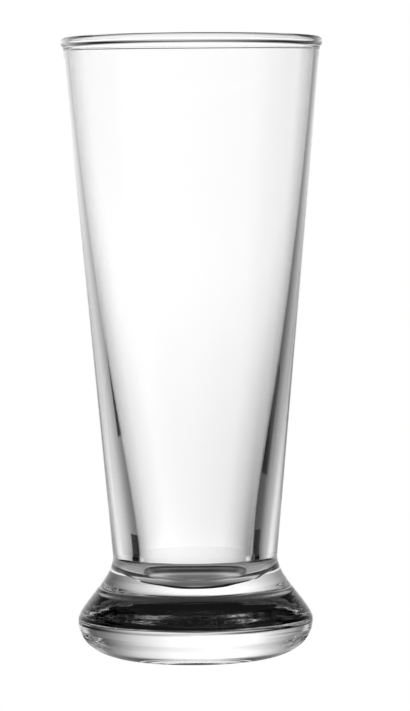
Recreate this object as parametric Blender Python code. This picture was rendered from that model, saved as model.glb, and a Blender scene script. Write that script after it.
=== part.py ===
# Tall footed tumbler in clear glass: a tapered bowl fused at the waist to a heavy flared foot.
# Metres, +Z up. The origin is the centre of the flat ring that the glass stands on.
import math

import bmesh
import bpy
from mathutils import Vector
from mathutils.geometry import interpolate_bezier

# Whole glass
HEIGHT = 0.188
SEGMENTS = 72
WELD_GAP = 0.0003

# Waist, where the bowl and the foot are fused
WAIST_HEIGHT = 0.0310
WAIST_RADIUS = 0.0250

# Bowl wall: a straight cone outside, thickening towards a rounded bottom inside
WALL_TAPER = 0.090
MOUTH_TAPER_INSIDE = 0.088
MOUTH_TAPER_REACH = 0.103
CAVITY_FLOOR = 0.0170
CAVITY_RADIUS = 0.0166
CAVITY_WALL_RISE = 0.020
CAVITY_CORNER_WIDTH = 0.0164
CAVITY_CORNER_HEIGHT = 0.0080
WALL_STEPS = 12
CORNER_STEPS = 8

# Rim bead: an oval roll that stands proud of the wall on the outside
BEAD_HALF_WIDTH = 0.00115
BEAD_HALF_HEIGHT = 0.0017
BEAD_START = math.radians(-75)
BEAD_END = math.radians(195)
BEAD_STEPS = 18

# Rounded bottom of the bowl, seated in a dish of the same form in the top of the foot
SEAT_BOTTOM = 0.0130
SEAT_STEPS = 8
LIP_REACH = 0.0244

# Foot: flat standing ring, rounded lower edge, bulge, and a flare up to the crease at the waist
RING_INNER_RADIUS = 0.0140
RING_OUTER_RADIUS = 0.0180
PUNT_DEPTH = 0.0012
PUNT_STEPS = 4
FOOT_RADIUS = 0.0357
BULGE_HEIGHT = 0.01155
LOWER_EDGE_RUN = 0.0117
LOWER_EDGE_DROP = 0.0064
LOWER_EDGE_STEPS = 10
FLARE_RISE_FROM_BULGE = 0.0042
FLARE_DROP_FROM_LIP = 0.0059
FLARE_TOP_SPREAD = 0.10
FLARE_STEPS = 12

# Colourless glass
GLASS_COLOUR = (0.93, 0.94, 0.94, 1.0)
BOWL_ROUGHNESS = 0.02
FOOT_ROUGHNESS = 0.04
GLASS_IOR = 1.52


def clear_scene():
    for item in list(bpy.data.objects):
        bpy.data.objects.remove(item, do_unlink=True)


def oval_arc(centre, half_width, half_height, start, end, steps):
    """Points (radius, height) along part of an upright oval."""
    angles = [start + (end - start) * i / steps for i in range(steps + 1)]
    return [(centre[0] + half_width * math.cos(a), centre[1] + half_height * math.sin(a)) for a in angles]


def smooth_run(start, start_handle, end_handle, end, steps):
    """Points (radius, height) along a curve that leaves and arrives along its handles."""
    knots = [Vector((p[0], p[1], 0.0)) for p in (start, start_handle, end_handle, end)]
    return [(p.x, p.y) for p in interpolate_bezier(*knots, steps + 1)]


def clear_glass(name, roughness):
    material = bpy.data.materials.new(name)
    material.use_nodes = True
    shader = material.node_tree.nodes["Principled BSDF"]
    shader.inputs["Base Color"].default_value = GLASS_COLOUR
    shader.inputs["Roughness"].default_value = roughness
    shader.inputs["Metallic"].default_value = 0.0
    shader.inputs["IOR"].default_value = GLASS_IOR
    shader.inputs["Transmission Weight"].default_value = 1.0
    return material


def turned(name, outline, material):
    """A solid turned about the Z axis from an outline that starts and ends on the axis."""
    mesh = bmesh.new()
    points = [mesh.verts.new((radius, 0.0, height)) for radius, height in outline]
    edges = [mesh.edges.new(pair) for pair in zip(points, points[1:])]
    bmesh.ops.spin(mesh, geom=points + edges, cent=(0, 0, 0), axis=(0, 0, 1),
                   angle=math.tau, steps=SEGMENTS, use_merge=True)
    bmesh.ops.remove_doubles(mesh, verts=mesh.verts, dist=1e-6)
    bmesh.ops.recalc_face_normals(mesh, faces=mesh.faces)
    data = bpy.data.meshes.new(name)
    mesh.to_mesh(data)
    mesh.free()
    data.shade_smooth()
    data.set_sharp_from_angle(angle=math.radians(40))
    data.materials.append(material)
    item = bpy.data.objects.new(name, data)
    bpy.context.scene.collection.objects.link(item)
    return item


def wall_radius(height):
    """Outside radius of the bowl's cone."""
    return WAIST_RADIUS + (height - WAIST_HEIGHT) * WALL_TAPER


def seat_run(reach, gap):
    """The dish from the axis out to a radius, set a gap's width below the bowl's bottom."""
    steepness = (WAIST_HEIGHT - SEAT_BOTTOM) / WAIST_RADIUS ** 2
    points = []
    for i in range(SEAT_STEPS + 1):
        radius = reach * i / SEAT_STEPS
        away = Vector((2 * steepness * radius, -1.0)).normalized() * gap
        points.append((radius + away.x, SEAT_BOTTOM + steepness * radius ** 2 + away.y))
    return points


def bead_arc():
    """The rim, from the outside of the wall over the top to the inside."""
    middle = HEIGHT - BEAD_HALF_HEIGHT
    start_height = middle + BEAD_HALF_HEIGHT * math.sin(BEAD_START)
    centre = (wall_radius(start_height) - BEAD_HALF_WIDTH * math.cos(BEAD_START), middle)
    return oval_arc(centre, BEAD_HALF_WIDTH, BEAD_HALF_HEIGHT, BEAD_START, BEAD_END, BEAD_STEPS)


def cavity_run(mouth):
    """The inside of the bowl, from under the bead down the wall and round to the floor's centre."""
    corner_top = CAVITY_FLOOR + CAVITY_CORNER_HEIGHT
    upper = (mouth[0] - MOUTH_TAPER_REACH * MOUTH_TAPER_INSIDE, mouth[1] - MOUTH_TAPER_REACH)
    lower = (CAVITY_RADIUS, corner_top + CAVITY_WALL_RISE)
    wall = smooth_run(mouth, upper, lower, (CAVITY_RADIUS, corner_top), WALL_STEPS)
    corner = oval_arc((CAVITY_RADIUS - CAVITY_CORNER_WIDTH, corner_top), CAVITY_CORNER_WIDTH,
                      CAVITY_CORNER_HEIGHT, 0.0, -math.pi / 2, CORNER_STEPS)
    return wall[1:] + corner[1:] + [(0.0, CAVITY_FLOOR)]


def make_bowl():
    rim = bead_arc()
    outline = seat_run(WAIST_RADIUS, 0.0) + rim + cavity_run(rim[-1])
    return turned("bowl", outline, clear_glass("bowl glass", BOWL_ROUGHNESS))


def make_foot():
    dish = seat_run(LIP_REACH, WELD_GAP)
    lip_height = dish[-1][1]
    lip_radius = wall_radius(lip_height)
    punt = [(RING_INNER_RADIUS * i / PUNT_STEPS,
             PUNT_DEPTH * (1 - (i / PUNT_STEPS) ** 2)) for i in range(PUNT_STEPS + 1)]
    lower_edge = smooth_run((RING_OUTER_RADIUS, 0.0),
                            (RING_OUTER_RADIUS + LOWER_EDGE_RUN, 0.0),
                            (FOOT_RADIUS, BULGE_HEIGHT - LOWER_EDGE_DROP),
                            (FOOT_RADIUS, BULGE_HEIGHT), LOWER_EDGE_STEPS)
    flare_top = (lip_radius + FLARE_DROP_FROM_LIP * FLARE_TOP_SPREAD, lip_height - FLARE_DROP_FROM_LIP)
    flare = smooth_run((FOOT_RADIUS, BULGE_HEIGHT),
                       (FOOT_RADIUS, BULGE_HEIGHT + FLARE_RISE_FROM_BULGE),
                       flare_top, (lip_radius, lip_height), FLARE_STEPS)
    outline = punt + lower_edge + flare[1:] + dish[::-1]
    return turned("foot", outline, clear_glass("foot glass", FOOT_ROUGHNESS))


def main():
    clear_scene()
    glass = bpy.data.objects.new("tumbler", None)
    bpy.context.scene.collection.objects.link(glass)
    for piece in (make_bowl(), make_foot()):
        piece.parent = glass


main()
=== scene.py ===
import math

import bmesh
import bpy
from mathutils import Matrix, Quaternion, Vector


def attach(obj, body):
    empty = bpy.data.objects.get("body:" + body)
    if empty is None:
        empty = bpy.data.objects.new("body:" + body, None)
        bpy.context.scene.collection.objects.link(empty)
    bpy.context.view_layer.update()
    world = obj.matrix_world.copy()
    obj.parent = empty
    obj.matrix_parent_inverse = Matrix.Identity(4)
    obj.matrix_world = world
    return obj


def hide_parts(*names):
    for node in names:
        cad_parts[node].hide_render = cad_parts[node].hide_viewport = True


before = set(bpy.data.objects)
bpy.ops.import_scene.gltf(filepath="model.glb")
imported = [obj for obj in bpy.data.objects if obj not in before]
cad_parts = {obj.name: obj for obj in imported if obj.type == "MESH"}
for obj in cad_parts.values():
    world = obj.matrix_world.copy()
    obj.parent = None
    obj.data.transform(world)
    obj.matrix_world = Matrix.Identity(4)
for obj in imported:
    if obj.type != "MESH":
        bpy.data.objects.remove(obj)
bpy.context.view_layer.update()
scene = bpy.context.scene
print("frame loaded:", ", ".join(sorted(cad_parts)))


# Shader maths as plain sums: a wire is one output socket of a node tree
class Wire:
    def __init__(self, tree, socket=None):
        self.tree = tree
        self.socket = socket

    # any node: its type, the settings that come first, then its sockets
    def add(self, kind, settings=None, sockets=None, output=0):
        node = self.tree.nodes.new(kind)
        for name, value in (settings or {}).items():
            setattr(node, name, value)
        for name, value in (sockets or {}).items():
            if isinstance(value, Wire):
                value.feed(node.inputs[name])
            else:
                node.inputs[name].default_value = value
        return Wire(self.tree, node.outputs[output])

    def feed(self, socket):
        self.tree.links.new(self.socket, socket)

    # another output of the same node
    def out(self, name):
        return Wire(self.tree, self.socket.node.outputs[name])

    def maths(self, operation, *values):
        return self.add("ShaderNodeMath", {"operation": operation}, dict(enumerate(values)))

    def __add__(self, other):
        return self.maths("ADD", self, other)

    def __sub__(self, other):
        return self.maths("SUBTRACT", self, other)

    def __rsub__(self, other):
        return self.maths("SUBTRACT", other, self)

    def __mul__(self, other):
        return self.maths("MULTIPLY", self, other)

    def __neg__(self):
        return self * -1.0

    def __abs__(self):
        return self.maths("ABSOLUTE", self)

    __radd__ = __add__
    __rmul__ = __mul__

    # 0 below low, 1 above high, with a soft step between
    def rise(self, low, high):
        return self.add("ShaderNodeMapRange", {"interpolation_type": "SMOOTHSTEP"},
                        {"Value": self, "From Min": low, "From Max": high})

    def fall(self, low, high):
        return 1 - self.rise(low, high)

    # 1 between two soft steps, 0 outside them
    def band(self, riseLow, riseHigh, fallLow, fallHigh):
        return self.rise(riseLow, riseHigh) * self.fall(fallLow, fallHigh)


# Outlines are lists of (radius, height) points, and runs crowd their points together at both ends
def crowded(count):
    return [(1 - math.cos(math.pi * i / count)) / 2 for i in range(count + 1)]


def straightRun(start, end, count):
    return [tuple(Vector(start).lerp(Vector(end), t)) for t in crowded(count)]


# Leaves its start and reaches its end along the two handles
def curvedRun(start, startHandle, endHandle, end, count):
    a, b, c, d = (Vector(p) for p in (start, startHandle, endHandle, end))
    points = []
    for t in crowded(count):
        s = 1 - t
        points.append(tuple(a * s ** 3 + b * (3 * s * s * t) + c * (3 * s * t * t) + d * t ** 3))
    return points


# Part of an upright oval, in even steps between two angles in degrees
def ovalArc(centre, halfWidth, halfHeight, startAngle, endAngle, count):
    points = []
    for i in range(count + 1):
        angle = math.radians(startAngle + (endAngle - startAngle) * i / count)
        points.append((centre[0] + halfWidth * math.cos(angle), centre[1] + halfHeight * math.sin(angle)))
    return points


# A material that has only its output yet, as a wire to start from and the socket to feed
def bareMaterial(name):
    material = bpy.data.materials.new(name)
    material.use_nodes = True
    tree = material.node_tree
    tree.nodes.remove(tree.nodes["Principled BSDF"])
    return material, Wire(tree), tree.nodes["Material Output"].inputs["Surface"]


def placePiece(name, mesh, *materials):
    data = bpy.data.meshes.new(name)
    mesh.to_mesh(data)
    mesh.free()
    for material in materials:
        data.materials.append(material)
    piece = bpy.data.objects.new(name, data)
    scene.collection.objects.link(piece)
    return piece


# Clear glass: nearly even, with faint smears and a scuffed standing ring
glassLook = {
    "tint": (0.99, 0.99, 0.99, 1.0),
    "ior": 1.52,
    "smearScale": 35.0,
    "smearDetail": 3.0,
    "smearFrom": (0.45, 0.75),  # noise levels where a smear starts and is full
    "smearRoughness": 0.004,
    "scuffHeight": 0.0009,
    "scuffRoughness": 0.22,
    "gritScale": 900.0,
    "gritDetail": 2.0,
    "gritFrom": (0.35, 0.65),
}


def clearGlass(name):
    material = bpy.data.materials.new(name)
    material.use_nodes = True
    shader = material.node_tree.nodes["Principled BSDF"]
    start = Wire(material.node_tree)
    place = start.add("ShaderNodeTexCoord", output="Object")
    smear = start.add("ShaderNodeTexNoise", {}, {
        "Vector": place, "Scale": glassLook["smearScale"], "Detail": glassLook["smearDetail"]})
    grit = start.add("ShaderNodeTexNoise", {}, {
        "Vector": place, "Scale": glassLook["gritScale"], "Detail": glassLook["gritDetail"]})
    height = start.add("ShaderNodeSeparateXYZ", {}, {"Vector": place}, "Z")
    scuff = height.fall(0.0, glassLook["scuffHeight"]) * grit.rise(*glassLook["gritFrom"])
    roughness = smear.rise(*glassLook["smearFrom"]) * glassLook["smearRoughness"]
    roughness = roughness + scuff * glassLook["scuffRoughness"]
    roughness.feed(shader.inputs["Roughness"])
    shader.inputs["Base Color"].default_value = glassLook["tint"]
    shader.inputs["Transmission Weight"].default_value = 1.0
    shader.inputs["IOR"].default_value = glassLook["ior"]
    return material


# The fused seam has no surface of its own, so light goes straight through it
def fusedSeam():
    material, start, surface = bareMaterial("fusedSeam")
    start.add("ShaderNodeBsdfTransparent").feed(surface)
    return material


seam = fusedSeam()

# The seam surface inside the glass, where the bowl and the foot are fused
weld = {
    "waistHeight": 0.0310,
    "waistRadius": 0.0250,
    "seatBottom": 0.0130,
    "rings": 14,
    "closeness": 2e-5,  # a face within this of the surface is part of the seam
    "mergeWithin": 1e-7,
    "creaseAngle": 50.0,  # edges sharper than this stay crisp, as at the waist
}


def weldHeight(away):
    rise = weld["waistHeight"] - weld["seatBottom"]
    return weld["seatBottom"] + rise * (away / weld["waistRadius"]) ** 2


def weldRun():
    reach = [weld["waistRadius"] * i / weld["rings"] for i in range(weld["rings"] + 1)]
    return [(away, weldHeight(away)) for away in reach]


def onWeld(place):
    away = math.hypot(place.x, place.y)
    if away > weld["waistRadius"] + weld["closeness"]:
        return False
    return abs(place.z - weldHeight(away)) < weld["closeness"]


# Turns an outline into a closed solid; its faces in the weld take the seam material
def turnGlass(name, outline, turns, ripple=None):
    mesh = bmesh.new()
    points = [mesh.verts.new((radius, 0.0, height)) for radius, height in outline]
    edges = [mesh.edges.new(pair) for pair in zip(points, points[1:])]
    bmesh.ops.spin(mesh, geom=points + edges, cent=(0, 0, 0), axis=(0, 0, 1),
                   angle=math.tau, steps=turns, use_merge=True)
    bmesh.ops.remove_doubles(mesh, verts=mesh.verts, dist=weld["mergeWithin"])
    bmesh.ops.recalc_face_normals(mesh, faces=mesh.faces)
    for face in mesh.faces:
        face.material_index = 1 if all(onWeld(vert.co) for vert in face.verts) else 0
        face.smooth = True
    if ripple:
        for vert in mesh.verts:
            vert.co += ripple(vert.co)
    piece = placePiece(name, mesh, clearGlass(name), seam)
    piece.data.set_sharp_from_angle(angle=math.radians(weld["creaseAngle"]))
    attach(piece, "root")
    print("turned", name, len(piece.data.polygons), "faces")
    return piece


bowl = {
    "height": 0.1878,
    "wallTaper": 0.090,  # how fast the outside widens upwards
    "mouthTaperInside": 0.088,
    "mouthTaperReach": 0.103,
    "cavityFloor": 0.0170,
    "cavityRadius": 0.0166,
    "cavityWallRise": 0.020,
    "cavityCorner": (0.0164, 0.0080),  # width and height of the rounded corner
    "rimRadius": 0.0396,
    "beadHalfWidth": 0.00115,
    "beadHalfHeight": 0.0015,
    "beadStart": -50.0,  # from the outside over the top to the inside, in degrees
    "beadEnd": 195.0,
    "filletDrop": 0.0045,
    "filletReach": (0.0030, 0.0010),  # handles along the wall and under the bead
    "turns": 240,
    "steps": {"wall": 50, "fillet": 24, "bead": 48, "inside": 60, "corner": 40, "floor": 4},
}


def bowlWall(height):
    return weld["waistRadius"] + (height - weld["waistHeight"]) * bowl["wallTaper"]


def beadArc():
    width, height = bowl["beadHalfWidth"], bowl["beadHalfHeight"]
    middle = (bowl["rimRadius"] - width, bowl["height"] - height)
    return ovalArc(middle, width, height, bowl["beadStart"], bowl["beadEnd"], bowl["steps"]["bead"])


# From the waist up the wall and out to the bead
def outsideRun(bead):
    lean = Vector(bead[1]) - Vector(bead[0])
    wallTop = bead[0][1] - bowl["filletDrop"]
    along, under = bowl["filletReach"]
    wall = straightRun((weld["waistRadius"], weld["waistHeight"]), (bowlWall(wallTop), wallTop),
                       bowl["steps"]["wall"])
    fillet = curvedRun((bowlWall(wallTop), wallTop), (bowlWall(wallTop + along), wallTop + along),
                       Vector(bead[0]) - lean.normalized() * under, bead[0], bowl["steps"]["fillet"])
    return wall + fillet[1:]


# From the mouth down the wall, round the corner and in to the axis
def insideRun(mouth):
    cornerWidth, cornerHeight = bowl["cavityCorner"]
    cornerTop = bowl["cavityFloor"] + cornerHeight
    cornerCentre = bowl["cavityRadius"] - cornerWidth
    drop = bowl["mouthTaperReach"]
    wall = curvedRun(mouth, (mouth[0] - drop * bowl["mouthTaperInside"], mouth[1] - drop),
                     (bowl["cavityRadius"], cornerTop + bowl["cavityWallRise"]),
                     (bowl["cavityRadius"], cornerTop), bowl["steps"]["inside"])
    corner = ovalArc((cornerCentre, cornerTop), cornerWidth, cornerHeight, 0.0, -90.0,
                     bowl["steps"]["corner"])
    floor = straightRun((cornerCentre, bowl["cavityFloor"]), (0.0, bowl["cavityFloor"]),
                        bowl["steps"]["floor"])
    return wall + corner[1:] + floor[1:]


def makeBowl():
    bead = beadArc()
    outline = weldRun() + outsideRun(bead)[1:] + bead[1:] + insideRun(bead[-1])[1:]
    piece = turnGlass("bowlGlass", outline, bowl["turns"])
    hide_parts("bowl")


makeBowl()

foot = {
    "ringInner": 0.0140,
    "ringOuter": 0.0180,
    "puntDepth": 0.0012,
    "radius": 0.0357,
    "bulgeHeight": 0.01155,
    "lowerEdgeRun": 0.0117,
    "lowerEdgeDrop": 0.0064,
    "flareRise": 0.0044,
    "flareDrop": 0.0069,
    "flareTopTaper": 0.010,
    "turns": 240,
    "steps": {"punt": 24, "ring": 12, "lowerEdge": 44, "flare": 96},
    "markDepth": 26e-6,
    "markHeights": (0.005, 0.029),
    "markFades": (0.004, 0.006),  # the marks come in and go out over these heights
    "markClear": 1.02,  # none nearer the axis than this many waist radii
    "markFront": 0.1,  # strength at the front and back, with 1 at the two sides
    "marks": [
        {"waves": 3700.0, "share": 1.0, "wander": 1.1, "bends": 2, "turn": 0.6},
        {"waves": 2170.0, "share": 0.7, "wander": 1.6, "bends": 3, "turn": 2.0},
    ],
}


# Faint level tool marks that wander a little, strongest at the two sides of the mould
def toolMarks(place):
    away = math.hypot(place.x, place.y)
    low, high = foot["markHeights"]
    if away < weld["waistRadius"] * foot["markClear"] or not low < place.z < high:
        return Vector()
    angle = math.atan2(place.x, place.y)
    wave = 0.0
    for mark in foot["marks"]:
        wander = mark["wander"] * math.sin(mark["bends"] * angle + mark["turn"])
        wave += mark["share"] * math.sin(place.z * mark["waves"] + wander)
    fadeIn, fadeOut = foot["markFades"]
    wave *= min(1, (place.z - low) / fadeIn, (high - place.z) / fadeOut)
    wave *= foot["markFront"] + (1 - foot["markFront"]) * abs(place.x / away)
    return Vector((place.x, place.y, 0)) * (foot["markDepth"] * wave / away)


def makeFoot():
    steps = foot["steps"]
    bulge = (foot["radius"], foot["bulgeHeight"])
    waist = (weld["waistRadius"], weld["waistHeight"])
    punt = [(foot["ringInner"] * t, foot["puntDepth"] * (1 - t * t)) for t in crowded(steps["punt"])]
    ring = straightRun((foot["ringInner"], 0.0), (foot["ringOuter"], 0.0), steps["ring"])
    lowerEdge = curvedRun((foot["ringOuter"], 0.0), (foot["ringOuter"] + foot["lowerEdgeRun"], 0.0),
                          (foot["radius"], foot["bulgeHeight"] - foot["lowerEdgeDrop"]), bulge,
                          steps["lowerEdge"])
    flareTop = (waist[0] - foot["flareDrop"] * foot["flareTopTaper"], waist[1] - foot["flareDrop"])
    flare = curvedRun(bulge, (foot["radius"], foot["bulgeHeight"] + foot["flareRise"]), flareTop, waist,
                      steps["flare"])
    outline = weldRun() + flare[-2::-1] + lowerEdge[-2::-1] + ring[-2::-1] + punt[-2::-1]
    piece = turnGlass("footGlass", outline, foot["turns"], toolMarks)
    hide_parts("foot")


makeFoot()

# The studio is plain white to the camera. Its light goes by the angle round the glass, from straight
# behind with the right positive, and by the height above the horizon, both in degrees.

# A lit sweep behind the glass, which fades to each side, in a dark room
sweep = {
    "light": 1.08,
    "leftFade": (0.82, 5.0, 60.0),  # share lost, and the angles where that starts and ends
    "rightFade": (0.92, -8.0, 50.0),
    "endAngles": (66.0, 80.0),
    "upperGain": (0.12, -10.0, -3.0),  # share gained, and the heights where that starts and ends
    "lowerLoss": (0.30, -34.0, -18.0),  # share lost, below these heights
    "topHeights": (9.0, 25.0),  # all light goes out between these heights
    "roomLight": 0.008,
}

# Rays straight through the glass see the sweep a little lighter at its sides, and panels all round
throughRays = {
    "gain": 0.09,
    "gainAngles": (2.0, 8.0, 22.0, 34.0),
    "gainHeights": (-12.0, -6.0),
    "panelLight": 0.95,
    "panelAngles": (52.0, 66.0),
    "lowPanelAngles": (18.0, 34.0),
    "lowPanelHeights": (-22.0, -18.0),
}

# Rays reflected on their way see the sweep darker, a back light, and a card beyond the right flag
reflectedRays = {
    "leftLoss": 0.12,
    "leftTopLoss": 0.15,
    "rightLoss": 0.25,
    "lossAngles": (4.0, 18.0),
    "topLossHeights": (-14.0, -5.0),
    "backLight": 0.40,
    "backAngles": (100.0, 118.0),
    "backHeights": (2.0, 8.0),
    "cardLight": 0.30,
    "cardAngles": (61.0, 63.0, 70.0, 76.0),
    "cardHeights": (-3.0, 0.0),
}


def sweepLight(angle, height):
    lost, low, high = sweep["leftFade"]
    left = (-angle).rise(low, high) * lost
    lost, low, high = sweep["rightFade"]
    right = angle.rise(low, high) * lost
    level = (1 - left - right) * abs(angle).fall(*sweep["endAngles"]) * sweep["light"]
    gain, low, high = sweep["upperGain"]
    lift = height.rise(low, high) * gain + 1
    lost, low, high = sweep["lowerLoss"]
    return level * (lift - height.fall(low, high) * lost)


def throughLight(level, angle, height):
    gain = abs(angle).band(*throughRays["gainAngles"]) * height.rise(*throughRays["gainHeights"])
    aside = abs(angle).rise(*throughRays["panelAngles"])
    low = abs(angle).rise(*throughRays["lowPanelAngles"]) * height.fall(*throughRays["lowPanelHeights"])
    panels = aside.maths("MAXIMUM", aside, low) * throughRays["panelLight"]
    return level.maths("MAXIMUM", level * (gain * throughRays["gain"] + 1), panels)


def reflectedLight(level, angle, height):
    low, high = reflectedRays["lossAngles"]
    leftLoss = height.rise(*reflectedRays["topLossHeights"]) * reflectedRays["leftTopLoss"]
    left = (-angle).rise(low, high) * (leftLoss + reflectedRays["leftLoss"])
    right = angle.rise(low, high) * reflectedRays["rightLoss"]
    back = abs(angle).rise(*reflectedRays["backAngles"]) * height.fall(*reflectedRays["backHeights"])
    card = angle.band(*reflectedRays["cardAngles"]) * height.fall(*reflectedRays["cardHeights"])
    level = level * (1 - left - right)
    return level + back * reflectedRays["backLight"] + card * reflectedRays["cardLight"]


# 1 for a ray that has been reflected on its way, as in the foot and in the thick part of the wall
def reflected(start):
    return start.add("ShaderNodeLightPath", output="Glossy Depth").rise(0.0, 1.0)


def cameraRay(start):
    return start.add("ShaderNodeLightPath", output="Is Camera Ray")


def degreesRound(parts):
    return parts.maths("ARCTAN2", parts.out("X"), parts.out("Y")) * math.degrees(1.0)


def makeWorld():
    world = bpy.data.worlds.new("studio")
    scene.world = world
    world.use_nodes = True
    background = world.node_tree.nodes["Background"]
    start = Wire(world.node_tree)
    way = start.add("ShaderNodeTexCoord", output="Generated")
    parts = start.add("ShaderNodeSeparateXYZ", {}, {"Vector": way})
    height = parts.maths("ARCSINE", parts.out("Z")) * math.degrees(1.0)
    angle = degreesRound(parts)
    bounced = reflected(start)
    level = sweepLight(angle, height)
    straight = throughLight(level, angle, height)
    level = reflectedLight(level, angle, height) * bounced + straight * (1 - bounced)
    level = level * height.fall(*sweep["topHeights"]) + sweep["roomLight"]
    seen = cameraRay(start)
    level = seen + level * (1 - seen)
    level.feed(background.inputs["Color"])
    background.inputs["Strength"].default_value = 1.0
    print("world lit")


# A stage piece that is plain white to the camera and shows its own light to the glass
def stagePiece(name, mesh, level, through):
    material, start, surface = bareMaterial(name)
    seen = cameraRay(start)
    glow = start.add("ShaderNodeEmission", {}, {"Color": seen + level(start) * (1 - seen), "Strength": 1.0})
    clear = start.add("ShaderNodeBsdfTransparent")
    mixed = start.add("ShaderNodeMixShader", {}, {0: through(start) * (1 - seen), 1: glow, 2: clear})
    mixed.feed(surface)
    placePiece(name, mesh, material)


# Two dark flags beside the sweep, which reflected rays see as mirrored in the table
flagLook = {
    "light": 0.0,
    "drop": 0.0004,  # just under the table
    "steps": 16,
    "nearReach": (0.060, 0.137),  # where the near part lies on the table
    "nearSoftness": (0.5, 0.002),  # of its edges, in degrees and in metres
}
flags = [  # angles of both ends, distance, depth of the mirror image at both ends, angles of the near part
    {"angles": (-49.5, -80.0), "away": 0.650, "depth": (0.136, 0.176), "near": (-72.5, -54.0)},
    {"angles": (46.5, 61.5), "away": 0.350, "depth": (0.0525, 0.0640), "near": (48.5, 63.0)},
]


def makeFlag(name, flag):
    firstAngle, lastAngle = flag["angles"]
    firstDepth, lastDepth = flag["depth"]
    mesh = bmesh.new()
    top = []
    for t in crowded(flagLook["steps"]):
        angle = math.radians(firstAngle + (lastAngle - firstAngle) * t)
        x, y = flag["away"] * math.sin(angle), flag["away"] * math.cos(angle)
        top.append(mesh.verts.new((x, y, -flagLook["drop"])))
    edges = [mesh.edges.new(pair) for pair in zip(top, top[1:])]
    hung = bmesh.ops.extrude_edge_only(mesh, edges=edges)["geom"]
    for vert in hung:
        if isinstance(vert, bmesh.types.BMVert):
            angle = math.degrees(math.atan2(vert.co.x, vert.co.y))
            share = (angle - firstAngle) / (lastAngle - firstAngle)
            vert.co.z = -(firstDepth + (lastDepth - firstDepth) * share)
    stagePiece(name, mesh, lambda start: reflected(start) * flagLook["light"],
               lambda start: 1 - reflected(start))


# The table has painted shade under and round the foot, with painted light to the left and right; further
# out the glass sees the sweep through it
table = {
    "radius": 3.0,
    "sides": 96,
    "drop": 0.0002,  # just clear of the standing ring
    "light": {0.0: 0.30, 0.008: 0.13, 0.018: 0.14, 0.0205: 0.18, 0.029: 0.22, 0.031: 0.36,
              0.035: 0.30, 0.039: 0.08, 0.042: 0.03, 0.047: 0.05, 0.050: 0.20},  # by distance from the axis
    # painted light: the table is lighter to the left and right by this share
    "sideGain": (0.7, 0.008, 0.022),  # share gained to the left and right, and where that starts and ends
    "shadeEnds": (0.050, 0.055),
}


# Distance from the axis, distance to either side, and 1 for a reflected ray in the near part of a flag
def tablePlace(start):
    place = start.add("ShaderNodeTexCoord", output="Object")
    parts = start.add("ShaderNodeSeparateXYZ", {}, {"Vector": place})
    away = start.add("ShaderNodeVectorMath", {"operation": "LENGTH"}, {0: place}, "Value")
    angle = degreesRound(parts)
    softAngle, softReach = flagLook["nearSoftness"]
    near, far = flagLook["nearReach"]
    flagged = 0.0
    for flag in flags:
        low, high = flag["near"]
        flagged = angle.band(low - softAngle, low + softAngle, high - softAngle, high + softAngle) + flagged
    flagged = flagged * away.band(near - softReach, near + softReach, far - softReach, far + softReach)
    return away, abs(parts.out("X")), flagged * reflected(start)


# Painted shade on the table by distance from the axis, and painted light to the left and right
def tableLight(start):
    away, aside, flagged = tablePlace(start)
    stops = sorted(table["light"].items())
    light = stops[0][1]
    for (near, first), (far, second) in zip(stops, stops[1:]):
        light = away.rise(near, far) * (second - first) + light
    gain, low, high = table["sideGain"]
    light = light * (aside.rise(low, high) * gain + 1)
    return light * (1 - flagged) + flagged * flagLook["light"]


def tableThrough(start):
    away, _, flagged = tablePlace(start)
    return away.rise(*table["shadeEnds"]) * (1 - flagged)


def makeFloor():
    mesh = bmesh.new()
    bmesh.ops.create_circle(mesh, cap_ends=True, segments=table["sides"], radius=table["radius"])
    bmesh.ops.translate(mesh, verts=mesh.verts, vec=(0, 0, -table["drop"]))
    stagePiece("floor", mesh, tableLight, tableThrough)
    print("floor laid")


makeWorld()
makeFloor()
for number, flag in enumerate(flags):
    makeFlag("flag%d" % (number + 1), flag)
print("flags hung")

# The photograph's view: just below the rim, looking slightly down
shot = {
    "distance": 1.100,
    "height": 0.1442,
    "aimHeight": 0.09164,
    "pixelsPerRadian": 3632.6,
    "frame": (410, 711),
    "axisPixel": 193.6,  # where the glass's axis stands, from the left
    "roll": 0.42,
    "sensor": 36.0,
    "sight": 50.0,  # the furthest that the camera sees
    "bounces": 32,
    "glossyBounces": 16,
}


def makeCamera():
    data = bpy.data.cameras.new("camera")
    data.sensor_width = shot["sensor"]
    data.lens = shot["sensor"] * shot["pixelsPerRadian"] / max(shot["frame"])
    data.clip_end = shot["sight"]
    camera = bpy.data.objects.new("camera", data)
    scene.collection.objects.link(camera)
    camera.location = (0.0, -shot["distance"], shot["height"])
    aside = shot["distance"] * (shot["frame"][0] / 2 - shot["axisPixel"]) / shot["pixelsPerRadian"]
    aim = Vector((aside, 0.0, shot["aimHeight"])) - camera.location
    turn = aim.to_track_quat("-Z", "Y")
    camera.rotation_mode = "QUATERNION"
    camera.rotation_quaternion = turn @ Quaternion((0, 0, 1), math.radians(-shot["roll"]))
    scene.camera = camera
    print("camera set")


# Plain colours, and enough bounces for light to find its way through the thick glass
def setLightPaths():
    scene.view_settings.view_transform = "Standard"
    scene.cycles.max_bounces = shot["bounces"]
    scene.cycles.transmission_bounces = shot["bounces"]
    scene.cycles.transparent_max_bounces = shot["bounces"]
    scene.cycles.glossy_bounces = shot["glossyBounces"]


makeCamera()
setLightPaths()
